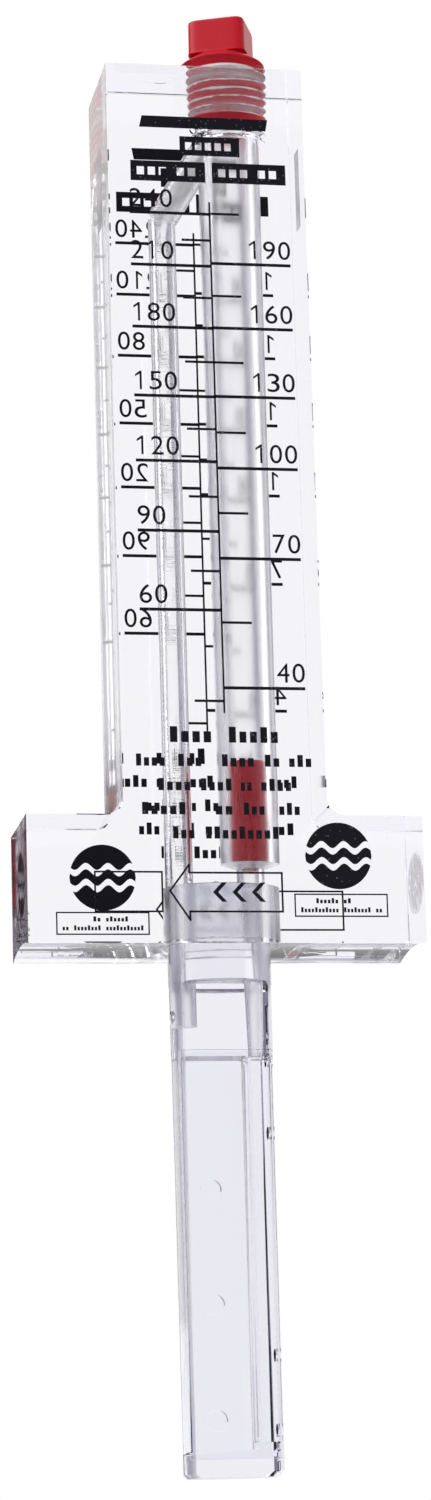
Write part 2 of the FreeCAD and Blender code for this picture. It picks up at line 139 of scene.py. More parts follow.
def around_once():
    """Angles of the points round a turned surface."""
    return np.linspace(0, 2 * np.pi, AROUND, endpoint=False)


def turned(radii, heights, x=0.0):
    """Turned skin: ring k has radius radii[k] (a number or one for each angle) at height heights[k]."""
    angle = around_once()
    radius, height = [np.stack([np.broadcast_to(np.asarray(one, float), angle.shape) for one in given])
                      for given in (radii, heights)]
    return stacked(np.stack([x + radius * np.cos(angle), radius * np.sin(angle), height], axis=-1))


def rod(start, end, radius, end_radius=None):
    """Round rod between two points: rings square to the line that joins them."""
    start, end = np.asarray(start, float), np.asarray(end, float)
    along = (end - start) / np.linalg.norm(end - start)
    side = np.cross(along, (0.0, 1.0, 0.0) if abs(along[1]) < 0.9 else (1.0, 0.0, 0.0))
    side /= np.linalg.norm(side)
    other = np.cross(along, side)
    angle = np.linspace(0, 2 * np.pi, 64, endpoint=False)[:, None]
    circle = np.cos(angle) * side + np.sin(angle) * other
    return stacked([start + radius * circle, end + (end_radius or radius) * circle])


def across(outline, levels, axis):
    """Skin of an outline carried along an axis: its numbers are the other two coordinates, in order."""
    return stacked([np.insert(np.asarray(outline, float), axis, level, axis=1) for level in levels])


def rounded(corners, radius, steps=6):
    """Outline with an arc at each corner: points at the radius from a centre on the bisector."""
    corners = np.asarray(corners, float)
    result = []
    for n, corner in enumerate(corners):
        back = corners[n - 1] - corner
        ahead = corners[(n + 1) % len(corners)] - corner
        back, ahead = back / np.linalg.norm(back), ahead / np.linalg.norm(ahead)
        half = math.acos(np.clip(back @ ahead, -1, 1)) / 2
        centre = corner + (back + ahead) / np.linalg.norm(back + ahead) * radius / math.sin(half)
        first = corner + back * radius / math.tan(half) - centre
        last = corner + ahead * radius / math.tan(half) - centre
        share = np.linspace(0, 1, steps)[:, None]
        arc = first * (1 - share) + last * share
        result.append(centre + arc / np.linalg.norm(arc, axis=1)[:, None] * radius)
    return np.concatenate(result)


def thread_rows(radius, low, high, flat=0.18, per_pitch=14):
    """Radii and heights of a right-hand tapered thread: its mean radius, given at the block's top
    face, plus a clipped triangle wave of height / pitch - angle."""
    angle = around_once()
    heights = np.linspace(low, high, int((high - low) / PITCH * per_pitch) + 2)
    turn = heights[:, None] / PITCH - angle / (2 * np.pi)
    wave = 1 - 4 * np.abs(turn % 1 - 0.5)
    wave = np.clip(wave / (1 - flat), -1, 1)
    mean = radius + TAPER * (heights - BLOCK_TOP)
    return list(mean[:, None] + THREAD_DEPTH / 2 * wave), list(heights)


def cut(body, cutters, keep="DIFFERENCE"):
    """Cuts closed cutters out of a body, or keeps what they share, and leaves one plain mesh."""
    for cutter in cutters:
        step = body.modifiers.new("cut", "BOOLEAN")
        step.operation = keep
        step.solver = "EXACT"
        step.object = cutter
    shown = body.evaluated_get(bpy.context.evaluated_depsgraph_get())
    mesh = bpy.data.meshes.new_from_object(shown)
    old = body.data
    body.modifiers.clear()
    body.data = mesh
    mesh.name = body.name
    bpy.data.meshes.remove(old)
    for cutter in cutters:
        old = cutter.data
        bpy.data.objects.remove(cutter)
        bpy.data.meshes.remove(old)
    merged(mesh)
    soften(body)
    return body


def tool(name, skin):
    """A cutter for cut()."""
    return new_object(name, *skin, smooth=False)


def dressed(thing, material, body, slot, *nodes):
    """Gives a finished piece its material, its CAD body and the nodes that it stands for, which it hides;
    the slot is not used.
    """
    thing.data.materials.clear()
    thing.data.materials.append(material)
    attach(thing, body)
    if nodes:
        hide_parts(*nodes)
    return thing


# ---------------------------------------------------------------- shared effects


def new_group(name, inputs, outputs):
    """An empty node group with named number, colour or vector sockets."""
    group = bpy.data.node_groups.new(name, "ShaderNodeTree")
    kinds = {"value": "NodeSocketFloat", "colour": "NodeSocketColor", "vector": "NodeSocketVector"}
    for label, kind, default in inputs:
        socket = group.interface.new_socket(name=label, in_out="INPUT", socket_type=kinds[kind])
        socket.default_value = default
    for label, kind in outputs:
        group.interface.new_socket(name=label, in_out="OUTPUT", socket_type=kinds[kind])
    return group, group.nodes.new("NodeGroupInput"), group.nodes.new("NodeGroupOutput")


def maths(tree, operation, first, second=None, clamp=False):
    """A Math node on sockets or numbers; gives its result socket."""
    node = tree.nodes.new("ShaderNodeMath")
    node.operation = operation
    node.use_clamp = clamp
    for socket, given in zip(node.inputs, (first, second)):
        if given is None:
            continue
        if isinstance(given, (int, float)):
            socket.default_value = given
        else:
            tree.links.new(given, socket)
    return node.outputs[0]


def times(tree, first, second, clamp=False):
    """Product of two sockets or numbers."""
    return maths(tree, "MULTIPLY", first, second, clamp=clamp)


def plus(tree, first, second, clamp=False):
    """Sum of two sockets or numbers."""
    return maths(tree, "ADD", first, second, clamp=clamp)


def less(tree, first, second, clamp=False):
    """The first socket or number less the second."""
    return maths(tree, "SUBTRACT", first, second, clamp=clamp)


def larger(tree, first, second):
    """The larger of two sockets or numbers."""
    return maths(tree, "MAXIMUM", first, second)


def length(tree, first, second):
    """Square root of the sum of the squares of two sockets."""
    return maths(tree, "SQRT", plus(tree, times(tree, first, first), times(tree, second, second)))


def axes_of(tree, vector):
    """X, Y and Z sockets of a vector."""
    node = tree.nodes.new("ShaderNodeSeparateXYZ")
    tree.links.new(vector, node.inputs[0])
    return node.outputs


def ramp(tree, value, start, end, low=0.0, high=1.0):
    """A Map Range node: low at start, high at end, a straight line between and level beyond."""
    node = tree.nodes.new("ShaderNodeMapRange")
    for socket, given in zip(node.inputs[1:5], (start, end, low, high)):
        socket.default_value = given
    tree.links.new(value, node.inputs[0])
    return node.outputs[0]


def mixed(tree, share, first, second):
    """A colour mix of two sockets or colours by a share."""
    node = tree.nodes.new("ShaderNodeMix")
    node.data_type = "RGBA"
    for socket, given in ((node.inputs[0], share), (node.inputs[6], first), (node.inputs[7], second)):
        if isinstance(given, (int, float, tuple)):
            socket.default_value = given
        else:
            tree.links.new(given, socket)
    return node.outputs[2]


def stretch(tree, vector, scale):
    """A Mapping node that scales a vector."""
    node = tree.nodes.new("ShaderNodeMapping")
    node.inputs["Scale"].default_value = scale
    tree.links.new(vector, node.inputs["Vector"])
    return node.outputs[0]


def noise(tree, vector, scale, detail=2.0, roughness=0.5):
    """A Noise Texture; gives its value socket."""
    node = tree.nodes.new("ShaderNodeTexNoise")
    node.inputs["Detail"].default_value = detail
    node.inputs["Roughness"].default_value = roughness
    tree.links.new(vector, node.inputs["Vector"])
    if isinstance(scale, (int, float)):
        node.inputs["Scale"].default_value = scale
    else:
        tree.links.new(scale, node.inputs["Scale"])
    return node.outputs[0]


def band(tree, value, low, high, soft):
    """1 where the value lies between low and high, falling to 0 over soft on each side."""
    return times(tree, ramp(tree, value, low - soft, low), ramp(tree, value, high, high + soft, 1.0, 0.0))


def drawn_marks_group():
    """Fine streaks that run along Z, as on a drawn or reamed wall: noise squeezed along Z."""
    group, source, sink = new_group(
        "drawn_marks", [("Vector", "vector", (0, 0, 0)), ("Scale", "value", 900.0)],
        [("Mask", "value"), ("Height", "value")])
    thin = stretch(group, source.outputs["Vector"], (1.0, 1.0, 0.03))
    fine = noise(group, thin, source.outputs["Scale"], detail=3.0)
    group.links.new(maths(group, "POWER", fine, 2.0), sink.inputs["Mask"])
    group.links.new(fine, sink.inputs["Height"])
    return group


def speckle_group():
    """Small round specks: cells of a Voronoi pattern whose own colour is above a threshold."""
    group, source, sink = new_group(
        "speckle", [("Vector", "vector", (0, 0, 0)), ("Scale", "value", 2500.0),
                    ("Share", "value", 0.12), ("Size", "value", 0.25)],
        [("Mask", "value")])
    cells = group.nodes.new("ShaderNodeTexVoronoi")
    group.links.new(source.outputs["Vector"], cells.inputs["Vector"])
    group.links.new(source.outputs["Scale"], cells.inputs["Scale"])
    split = group.nodes.new("ShaderNodeSeparateColor")
    group.links.new(cells.outputs["Color"], split.inputs[0])
    chosen = maths(group, "LESS_THAN", split.outputs[0], source.outputs["Share"])
    inside = maths(group, "LESS_THAN", cells.outputs["Distance"], source.outputs["Size"])
    group.links.new(times(group, chosen, inside), sink.inputs["Mask"])
    return group


def moulded_colour_group():
    """Slight cloudiness of moulded plastic: the colour moves towards a second one with soft noise."""
    group, source, sink = new_group(
        "moulded_colour", [("Vector", "vector", (0, 0, 0)), ("Colour", "colour", (1, 1, 1, 1)),
                           ("Second", "colour", (0.5, 0.5, 0.5, 1)), ("Scale", "value", 200.0),
                           ("Amount", "value", 0.5)],
        [("Colour", "colour")])
    cloud = noise(group, source.outputs["Vector"], source.outputs["Scale"], detail=5.0, roughness=0.6)
    share = times(group, less(group, cloud, 0.3, clamp=True), source.outputs["Amount"])
    group.links.new(mixed(group, share, source.outputs["Colour"], source.outputs["Second"]),
                    sink.inputs["Colour"])
    return group


def placed(tree, group, vector, **values):
    """Puts a shared effect in a material and sets its named inputs."""
    node = tree.nodes.new("ShaderNodeGroup")
    node.node_tree = group
    tree.links.new(vector, node.inputs["Vector"])
    for label, given in values.items():
        node.inputs[label].default_value = given
    return node


def new_material(name, colour, **sockets):
    """A material, its tree, its Principled shader with some sockets set, and its Object coordinates."""
    material = bpy.data.materials.new(name)
    material.use_nodes = True
    tree = material.node_tree
    shader = tree.nodes["Principled BSDF"]
    shader.inputs["Base Color"].default_value = (*colour[:3], 1.0)
    for label, given in sockets.items():
        shader.inputs[label.replace("_", " ")].default_value = given
    return material, tree, shader, tree.nodes.new("ShaderNodeTexCoord").outputs["Object"]


def bumped(tree, shader, height, strength, distance):
    """A Bump node from a height to the shader's Normal."""
    node = tree.nodes.new("ShaderNodeBump")
    node.inputs["Strength"].default_value = strength
    node.inputs["Distance"].default_value = distance
    tree.links.new(height, node.inputs["Height"])
    tree.links.new(node.outputs[0], shader.inputs["Normal"])


def tinted_inside(material, colour, density):
    """Lets the light inside a clear piece fade with its path."""
    tree = material.node_tree
    inside = tree.nodes.new("ShaderNodeVolumeAbsorption")
    inside.inputs["Color"].default_value = (*colour[:3], 1.0)
    inside.inputs["Density"].default_value = density
    tree.links.new(inside.outputs[0], tree.nodes["Material Output"].inputs["Volume"])


# ---------------------------------------------------------------- materials


def slab(tree, axis, low, high, soft):
    """1 between two places along an axis, falling to 0 over soft on each side, all in mm."""
    return band(tree, axis, low * MM, high * MM, soft * MM)


def near_line(tree, axes, x, reach):
    """1 inside a round column along Z at x, softly falling to 0 past its reach, in mm."""
    return slab(tree, length(tree, less(tree, axes[0], x * MM), axes[1]), BELOW, reach, 0.3)


def block_material(looks):
    """Polished acrylic: clear faces, a reamed sight bore with drawn streaks, a return bore with the
    drill's rings, sawn sides and a torn gate mark on the right end."""
    material, tree, shader, place = new_material(
        "polished_acrylic", looks.clear_tint, Transmission_Weight=1.0, IOR=CLEAR_INDEX)
    axes = axes_of(tree, place)
    below_thread = less(tree, 1.0, slab(tree, axes[2], 130.5, 200.0, 0.2))
    sight = times(tree, near_line(tree, axes, SIGHT_X, 5.2), below_thread)
    back = near_line(tree, axes, RETURN_X, 2.4)
    lean = times(tree, slab(tree, axes[2], 116.5, 129.5, 0.3), slab(tree, axes[1], -2.5, 2.5, 0.2))
    socket = times(tree, near_line(tree, axes, 0.0, 9.3), slab(tree, axes[2], 0.1, 9.9, 0.2))
    core = slab(tree, axes[1], -9.6, 9.6, 0.02)
    streaks = placed(tree, bpy.data.node_groups["drawn_marks"], place,
                     Scale=looks.streak_scale).outputs["Mask"]
    bores = times(tree, sight, looks.bore_haze)
    for spot, haze in ((back, 0.012), (lean, 0.45), (socket, 0.3)):
        bores = larger(tree, bores, times(tree, spot, haze))
    bores = times(tree, times(tree, bores, plus(tree, 0.7, streaks)), core)
    ends = maths(tree, "ABSOLUTE", axes[0])
    sides = times(tree, slab(tree, ends, 15.85, 15.9, 0.01), slab(tree, axes[2], 18.5, 150.0, 0.1))
    sawn = times(tree, larger(tree, sides, slab(tree, ends, 30.7, 40.0, 0.01)), 0.1)
    gate = length(tree, times(tree, axes[1], 0.62), less(tree, axes[2], 9.5 * MM))
    gate = times(tree, slab(tree, gate, BELOW, 3.8, 1.2), slab(tree, axes[0], 30.7, 40.0, 0.01))
    grain = noise(tree, place, 260.0, detail=6.0, roughness=0.62)
    ridges = times(tree, maths(tree, "ABSOLUTE", less(tree, grain, 0.5)), 7.0)
    torn = times(tree, gate, less(tree, 1.0, ridges, clamp=True))
    rough = plus(tree, plus(tree, bores, sawn), times(tree, torn, 0.35))
    tree.links.new(plus(tree, rough, 0.003, clamp=True), shader.inputs["Roughness"])
    rings = noise(tree, stretch(tree, place, (0.02, 0.02, 1.0)), 5200.0, detail=1.0)
    height = plus(tree, times(tree, times(tree, sight, core), streaks), times(tree, torn, 14.0))
    height = plus(tree, height, times(tree, times(tree, times(tree, back, core), rings), 3.0))
    bumped(tree, shader, height, 0.35, 0.0001)
    tinted_inside(material, looks.clear_inside, looks.clear_density)
    return material


def moulding_material(looks):
    """Clear moulded plastic of the stem: cloudy at the hub and in the ducts, with flow lines along Z."""
    material, tree, shader, place = new_material(
        "clear_moulding", looks.moulding_tint, Transmission_Weight=1.0, IOR=CLEAR_INDEX)
    axes = axes_of(tree, place)
    ducts = larger(tree, near_line(tree, axes, STATIC_X, 1.6), near_line(tree, axes, DUCT_X, 2.05))
    ducts = times(tree, ducts, slab(tree, axes[2], -17.35, 10.0, 0.1))
    neck = times(tree, slab(tree, axes[2], -5.5, 0.0, 1.0), 0.45)
    hub = larger(tree, slab(tree, axes[2], -0.2, 9.9, 0.3), neck)
    marks = placed(tree, bpy.data.node_groups["drawn_marks"], place, Scale=420.0)
    cloudy = times(tree, hub, noise(tree, place, 320.0, detail=4.0))
    wall = times(tree, slab(tree, axes[0], -6.6, -6.35, 0.02), slab(tree, axes[2], -56.5, -13.0, 4.0))
    rough = larger(tree, times(tree, ducts, 0.45), times(tree, wall, 0.5))
    rough = larger(tree, rough, times(tree, cloudy, looks.hub_haze))
    rough = plus(tree, rough, times(tree, marks.outputs["Mask"], 0.05))
    tree.links.new(rough, shader.inputs["Roughness"])
    bumped(tree, shader, plus(tree, marks.outputs["Height"], times(tree, cloudy, 3.0)), 0.1, 0.0003)
    tinted_inside(material, looks.clear_inside, looks.moulding_density)
    return material


def red_material(name, colour, second, roughness, scale):
    """Satin red plastic with slight clouds in its colour and a fine moulded grain."""
    material, tree, shader, place = new_material(
        name, colour, Roughness=roughness, Specular_IOR_Level=0.18)
    clouds = placed(tree, bpy.data.node_groups["moulded_colour"], place, Scale=scale, Amount=0.8,
                    Colour=(*colour[:3], 1), Second=(*second[:3], 1))
    tree.links.new(clouds.outputs["Colour"], shader.inputs["Base Color"])
    bumped(tree, shader, noise(tree, place, 2600.0), 0.12, 0.00008)
    return material


def tape_material(looks):
    """Wound thread tape: bunched at the top, torn lines on the crests below, a thin veil at the foot."""
    material, tree, shader, place = new_material(
        "thread_tape_film", looks.tape_white, Roughness=0.35)
    patches = noise(tree, stretch(tree, place, (0.6, 0.6, 2.6)), 420.0, detail=4.0, roughness=0.6)
    axes = axes_of(tree, place)
    angle = maths(tree, "ARCTAN2", axes[1], less(tree, axes[0], SIGHT_X * MM))
    turns = less(tree, maths(tree, "DIVIDE", axes[2], PITCH * MM),
                 maths(tree, "DIVIDE", angle, 2 * math.pi))
    groove = maths(tree, "ABSOLUTE", less(tree, maths(tree, "FRACT", turns), 0.5))
    top = ramp(tree, axes[2], 139.8 * MM, 142.4 * MM, 0.08, 0.95)
    foot = ramp(tree, axes[2], 137.5 * MM, 135.5 * MM, 0.0, 0.3)
    lines = less(tree, times(tree, patches, 7.0), times(tree, groove, 9.0))
    lines = times(tree, less(tree, lines, 2.4, clamp=True), 0.8)
    veil = times(tree, larger(tree, top, foot), plus(tree, times(tree, patches, 1.2), 0.3), clamp=True)
    tree.links.new(larger(tree, lines, veil), shader.inputs["Alpha"])
    bumped(tree, shader, patches, 0.5, 0.0002)
    return material


def ink_material(looks):
    """Screen ink: blue-black, with pinholes where the clear block shows as paler specks."""
    material, tree, shader, place = new_material(
        "screen_ink", looks.ink, Roughness=0.6, Specular_IOR_Level=0.2)
    pins = placed(tree, bpy.data.node_groups["speckle"], place, Scale=2600.0, Share=0.16, Size=0.3)
    tree.links.new(mixed(tree, pins.outputs["Mask"], (*looks.ink[:3], 1), (0.16, 0.16, 0.2, 1)),
                   shader.inputs["Base Color"])
    bumped(tree, shader, noise(tree, place, 1800.0), 0.1, 0.00005)
    return material


# ---------------------------------------------------------------- pieces


def block_outline(inset):
    """T-shaped outline in X and Z, moved in by an inset, with rounded ear roots."""
    tower, ear, ear_top = HALF_TOWER - inset, HALF_SPAN - inset, EAR_TOP - inset
    low, top = -1.0 + inset, BLOCK_TOP - inset
    turn = np.linspace(-np.pi / 2, -np.pi, 14)
    arc = np.stack([HALF_TOWER + EAR_ROOT + (EAR_ROOT + inset) * np.cos(turn),
                    EAR_TOP + EAR_ROOT + (EAR_ROOT + inset) * np.sin(turn)], axis=1)
    return np.concatenate([[(-ear, low), (ear, low), (ear, ear_top)], arc,
                           [(tower, top), (-tower, top)], arc[::-1] * (-1, 1), [(-ear, ear_top)]])


def make_block(sizes, material):
    """The block: its outline carried through Y with broken edges, less the saddle and the bores."""
    edge = sizes.broken_edge / MM
    skin = stacked([np.insert(block_outline(inset), 1, y, axis=1) for y, inset in (
        (-FACE, edge), (-FACE + edge, 0.0), (FACE - edge, 0.0), (FACE, edge))])
    block = new_object("clear_block", *skin)

    arc = np.linspace(-0.27, 0.27, 61)
    saddle = PIPE_RADIUS * np.stack([np.sin(arc), np.cos(arc) - 1], axis=1)
    saddle = np.concatenate([saddle, [(saddle[-1, 0], -6.0), (saddle[0, 0], -6.0)]])
    socket = turned([9.09, 9.09], [-4.0, 8.44])
    dimple = turned([2.3, 2.3, 0.05], [7.4, 8.94, 9.74], x=-0.8)
    thread, rows = thread_rows(6.22, 130.4, 142.4)
    sight = turned([2.2, 2.2, 4.65, 5.0, *thread], [7.4, 11.45, 12.3, 130.38, *rows], x=SIGHT_X)
    back = turned([2.2, 2.2], [7.4, RETURN_TOP], x=RETURN_X)
    rise = rows[0] - RETURN_TOP
    passage = rod((RETURN_X, 0, RETURN_TOP), (RETURN_X + rise * math.tan(math.radians(31)), 0, rows[0]), 2.4)
    cut(block, [tool("saddle", across(saddle, (-33.0, 33.0), 0)), tool("socket", socket),
                tool("dimple", dimple), tool("sight", sight), tool("back", back), tool("passage", passage)])
    return dressed(block, material, "meter", "clear_block", "meter_body")


def stem_skin():
    """Stem's round form: rings from the tip up to the hub, the tip's corner cut more on the +X side."""
    corner = 0.8 + 0.2 * np.cos(around_once())
    radii = [7.6 - corner, 7.6, 7.78, 7.84, 7.88, 7.95, 7.95, 8.93, 9.05, 9.05, 8.65]
    heights = [-80.6, -80.6 + corner, COVER_HIGH, -16.49, -6.1, -6.09, -0.01, 0.0, 0.12, 8.0, 8.4]
    return turned(radii, heights)


def make_stem(material):
    """The stem: hub, neck and blade, less its flats, cover seat, chambers, ducts and ports."""
    stem = new_object("stem_moulding", *stem_skin())
    tools = []
    arc = np.linspace(0, np.pi / 2, 8)
    for side in (-1, 1):
        flat = [(4.9 - 0.8 * math.sin(a), -6.9 + 0.8 * math.cos(a)) for a in arc]
        flat = np.array(flat + [(4.1, -82.0), (11.0, -82.0), (11.0, -6.1)]) * (side, 1)
        tools.append(tool("flat", across(flat, (-12.0, 12.0), 0)))
    tools.append(tool("seat", across(bar(-12, 12, COVER_LOW, COVER_HIGH), (-12.0, -2.8), 1)))
    chamber = rounded([(-6.43, -77.2), (3.37, -76.5), (3.37, -17.4), (-6.43, -17.4)], 0.35)
    channel = rounded([(3.87, -75.5), (6.67, -75.5), (6.67, -17.4), (3.87, -17.4)], 0.25)
    tools.append(tool("chamber", across(chamber, (-12.0, 2.9), 1)))
    tools.append(tool("channel", across(channel, (-12.0, 2.9), 1)))
    tools.append(tool("duct", turned([1.15, 1.15, 1.9, 1.93], [-18.4, -17.4, 8.4, 9.4], x=DUCT_X)))
    tools.append(tool("static_tube", turned([1.4, 1.4], [-12.7, 9.4], x=STATIC_X)))
    tools.append(tool("static_port", rod((STATIC_X, 0, -11.0), (-9.5, 0, -11.0), 1.0)))
    for height in (-17.8, -28.95, -62.55, -73.7):
        tools.append(tool("impact_hole", rod((5.3, 0, height), (9.5, 0, height), 1.0)))
    for height in (-37.2, -54.6, -72.0):
        tools.append(tool("ejector_mark", rod((-1.9, 2.0, height), (-1.9, 3.25, height), 1.95, 1.55)))
    cut(stem, tools)
    return dressed(stem, material, "meter", "clear_moulding", "pitot_stem")


def make_cover(material):
    """The stem's cover: what the stem's round form and a plate of its thickness share."""
    cover = new_object("stem_lid", *stem_skin())
    plate = bar(-12, 12, COVER_LOW + CEMENT, COVER_HIGH - CEMENT)
    cut(cover, [tool("plate", across(plate, (-4.1, -2.8 - CEMENT), 1))], keep="INTERSECT")
    return dressed(cover, material, "meter", "clear_moulding", "stem_cover")


def make_float(material):
    """The float: a cylinder with a cone under it, a fine groove near its lower end and a chamfered edge
    round its flat top.
    """
    radii = [2.6, 3.46, 3.56, 4.28, 4.38, 4.38, 4.16, 4.16, 4.38, 4.38, 4.12, 3.9]
    heights = [11.94, 11.94, 12.02, 13.26, 13.44, 14.44, 14.56, 14.84, 14.96, 28.1, 28.38, 28.4]
    bobbin = new_object("red_float", *turned(radii, heights, x=SIGHT_X))
    return dressed(bobbin, material, "float", "red_float", "float")


def make_plug(material):
    """The plug: a threaded shank under a flared rim, and a square head turned on it."""
    thread, rows = thread_rows(6.235, 133.4, 143.5)
    radii = [4.9, 5.5, *thread, 5.95, 6.0, 6.75, 6.9, 6.95, 6.86, 5.3, 5.1]
    heights = [133.02, 133.05, *rows, 143.6, 143.75, 144.5, 144.56, 144.68, 144.8, 145.95, 146.1]
    angle = around_once() + math.radians(22)
    sides = np.abs([np.cos(angle), np.sin(angle)])

    def square(half_side, soft):
        """Radius of a square with rounded corners, for each angle: power sum of its two sides."""
        return half_side / np.sum(sides ** (2.0 / soft), axis=0) ** (soft / 2.0)

    head = [square(4.77, 0.25), square(4.65, 0.2), square(4.62, 0.2),
            square(4.53, 0.2), square(4.25, 0.22), square(3.85, 0.25)]
    head_rows = [146.2, 146.7, 151.3, 151.68, 151.95, 151.99]
    plug = new_object("screw_plug", *turned(radii + head, heights + head_rows, x=SIGHT_X))
    core = turned([3.0, 3.0, 0.4], [132.0, 142.6, 144.0], x=SIGHT_X)
    cut(plug, [tool("core", core)])
    return dressed(plug, material, "plug", "red_plug", "top_plug")


def make_tape(material):
    """The tape: a thin film over the plug's thread, its two skins joined at both ends."""
    outer, rows = thread_rows(6.27, TAPE_LOW, TAPE_HIGH)
    inner, _ = thread_rows(6.25, TAPE_LOW, TAPE_HIGH)
    points, faces = turned(outer + inner[::-1], rows + rows[::-1], x=SIGHT_X)
    last = len(points) - AROUND
    foot = [[n, (n + 1) % AROUND, last + (n + 1) % AROUND, last + n] for n in range(AROUND)]
    tape = new_object("thread_film", points, faces[:-2] + foot)
    return dressed(tape, material, "tape", "white_tape", "thread_tape")


# ---------------------------------------------------------------- print


def bar(x0, x1, z0, z1):
    """Corners of a rectangle in X and Z."""
    return [(x0, z0), (x1, z0), (x1, z1), (x0, z1)]


def stroke(corners, width):
    """Bars along the sides of a closed outline: each side widened by half the width both ways."""
    corners = np.asarray(corners, float)
    result = []
    for n, start in enumerate(corners):
        end = corners[(n + 1) % len(corners)]
        along = (end - start) / np.linalg.norm(end - start) * width / 2
        side = np.array((-along[1], along[0]))
        result.append([start - along - side, end + along - side, end + along + side, start - along + side])
    return result


def blocks(words, step):
    """Ends of the plain blocks that stand for the characters of each word, one for each step."""
    result = []
    for start, end in words:
        count = max(1, round((end - start) / step))
        left = start + (end - start) * np.arange(count) / count
        result += [(x, x + 0.66 * (end - start) / count) for x in left]
    return result


def windowed(x0, x1, z0, z1, words):
    """A filled rectangle with a clear block for each character of the words."""
    low, high = z0 + 0.3 * (z1 - z0), z1 - 0.3 * (z1 - z0)
    result = [bar(x0, x1, z0, low), bar(x0, x1, high, z1)]
    left = x0
    for start, end in blocks(words, 1.55):
        result.append(bar(left, start, low, high))
        left = end
    return result + [bar(left, x1, low, high)]


def dummy_words(words, z, tall):
    """Stand-in for a line of small print: plain blocks, most of them lower than the tall ones."""
    heights = (1.0, 0.7, 0.7, 0.7, 1.0, 0.7, 0.7)
    return [bar(start, end, z, z + tall * heights[n % len(heights)])
            for n, (start, end) in enumerate(blocks(words, 0.7 * tall))]


# The scale's marks: value and height of each numbered line, and height of each short one.
MAJORS_LEFT = ((240, 116.0), (210, 107.3), (180, 97.0), (150, 85.7), (120, 75.1), (90, 63.8), (60, 51.15))
MAJORS_RIGHT = ((190, 107.8), (160, 97.1), (130, 85.8), (100, 74.1), (70, 59.5), (40, 38.8))
MINORS_LEFT = (111.6, 102.0, 91.4, 80.4, 69.4, 57.4, 36.7)
MINORS_RIGHT = (116.1, 102.4, 91.4, 79.9, 66.8, 49.2)


def scale_ink():
    """Ink of the scale, which lies in the same place on both faces, as outlines in X and Z."""
    shapes = [bar(0.06, 0.36, 34.8, 118.05)]
    shapes += [bar(-12.6, 0.2, z - 0.25, z + 0.25) for _, z in MAJORS_LEFT]
    shapes += [bar(0.2, 13.05, z - 0.25, z + 0.25) for _, z in MAJORS_RIGHT]
    shapes += [bar(-4.4, 0.2, z - 0.2, z + 0.2) for z in MINORS_LEFT]
    shapes += [bar(0.2, 4.95, z - 0.2, z + 0.2) for z in MINORS_RIGHT]
    shapes += windowed(-12.3, -0.3, 121.3, 124.7, ((-11.3, -6.0), (-4.9, -1.3)))
    shapes += windowed(0.8, 12.7, 121.3, 124.7, ((1.8, 7.1), (8.2, 11.8)))
    return shapes


def label_ink():
    """Other straight ink shapes of the front face, which the back face has the other way round."""
    shapes = [[(-10.75, 130.35), (9.7, 130.35), (10.05, 132.3), (-10.3, 132.3)]]
    shapes += windowed(-4.3, 5.35, 125.8, 129.0, ((-3.4, 4.5),))
    shapes += dummy_words(((-8.4, -1.4), (0.8, 9.0)), 30.15, 2.5)
    shapes += dummy_words(((-13.75, -8.9), (-7.2, -3.2), (-0.4, 5.0), (6.3, 9.0), (10.1, 14.0)), 26.4, 1.9)
    shapes += dummy_words(((-10.4, -5.0), (-3.8, 1.4), (2.4, 4.4), (5.6, 10.7)), 22.6, 1.9)
    shapes += dummy_words(((-13.0, -5.8), (-1.6, 1.5), (2.8, 6.4), (8.3, 11.9)), 18.85, 1.9)
    shapes += dummy_words(((-8.3, -4.6), (-3.2, 8.5)), 15.1, 1.9)
    shapes += stroke(bar(-20.5, -10.2, 3.8, 9.9), 0.28)
    shapes += stroke(bar(10.3, 24.7, 3.1, 6.5), 0.22)
    shapes += dummy_words(((13.6, 17.2), (17.9, 19.2)), 5.1, 0.8)
    shapes += dummy_words(((11.2, 17.2), (17.9, 22.2), (22.9, 24.0)), 3.7, 0.8)
    return shapes


def arrow_ink():
    """Outline of the flow arrow, which points to -X on both faces, with three chevrons in it."""
    shapes = stroke([(-9.0, 7.0), (-6.0, 11.0), (-6.0, 9.8), (8.36, 9.8), (8.36, 3.8), (-6.0, 3.8),
                     (-6.0, 2.5)], 0.3)
    for x in (-2.4, 0.6, 3.6):
        for end in (5.3, 8.3):
            shapes.append([(x, 6.8), (x + 0.8, 6.8), (x + 2.2, end), (x + 1.4, end)])
    return shapes


def inked(outline, low, high):
    """Skin of a flat shape with a thickness: its outline at two depths along Y."""
    outline = np.asarray(outline, float)
    return stacked([np.insert(outline, 1, y, axis=1) for y in (low, high)])


def badge_ink(x, z):
    """Round badge crossed by two clear waves: strips between wavy lines, each ending at the rim."""
    u = np.linspace(-1, 1, 97)
    rim = BADGE_RADIUS * np.sqrt(np.clip(1 - u * u, 0, None))
    ripple = 0.55 * np.sin(u * 2 * np.pi * 1.5) * (np.abs(u) < 0.999)
    strips = []
    for low, high in ((-rim, ripple - 1.75), (ripple - 0.75, ripple + 0.75), (ripple + 1.75, rim)):
        under = np.clip(low, -rim, rim)
        over = np.clip(high, under, rim)
        strips.append(np.concatenate([np.stack([x + BADGE_RADIUS * u, z + under], axis=1),
                                      np.stack([x + BADGE_RADIUS * u, z + over], axis=1)[::-1]]))
    return strips


